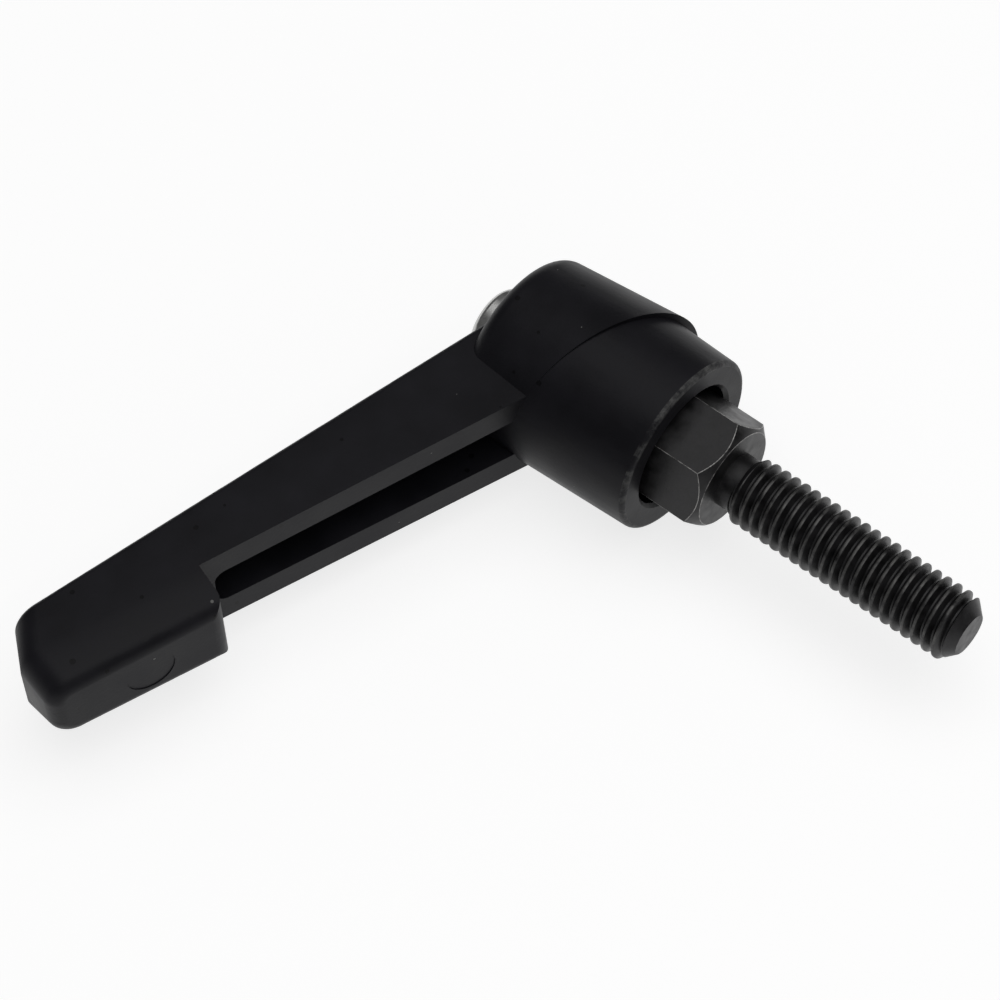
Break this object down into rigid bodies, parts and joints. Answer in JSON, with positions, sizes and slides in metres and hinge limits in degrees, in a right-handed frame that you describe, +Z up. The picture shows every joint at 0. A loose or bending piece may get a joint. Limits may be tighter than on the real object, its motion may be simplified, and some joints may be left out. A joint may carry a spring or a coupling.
{
  "type": "adjustable clamping lever",
  "caption": "Cast clamping lever with an offset channel-section arm and a rounded grip block, on a spring-loaded serrated hub with a hex collar and an inch-thread stud.",
  "frame": {"origin": "on the hub axis at the seat, the lower end of the hex where it bears on the clamped work", "axes": "+Z up the hub axis away from the clamped work, +X from the hub along the arm, +Y to the arm's left side; the stud points to -Z"},
  "size_m": [0.0952, 0.0274, 0.0912],
  "materials": {
    "coated_casting": "satin black powder coat over a zinc die casting",
    "black_oxide_steel": "black oxide on machined steel, worn bright on the edges and crests",
    "plated_screw": "zinc-plated steel",
    "spring_steel": "drawn spring wire"
  },
  "bodies": {
    "stud": {"stud_insert": "black_oxide_steel", "retaining_screw": "plated_screw"},
    "spring": {"compression_spring": "spring_steel"},
    "lever": {"lever": "coated_casting"}
  },
  "joints": [
    {"name": "index_turn", "type": "hinge", "parent": "stud", "child": "spring", "pos_m": [0, 0, 0.0225], "axis": [0, 0, 1], "continuous": true},
    {"name": "lift", "type": "slide", "parent": "spring", "child": "lever", "axis": [0, 0, 1], "range_m": [0, 0.0055], "stiffness_N_per_m": 2000, "springref_m": -0.005, "deforming": ["compression_spring"]}
  ]
}
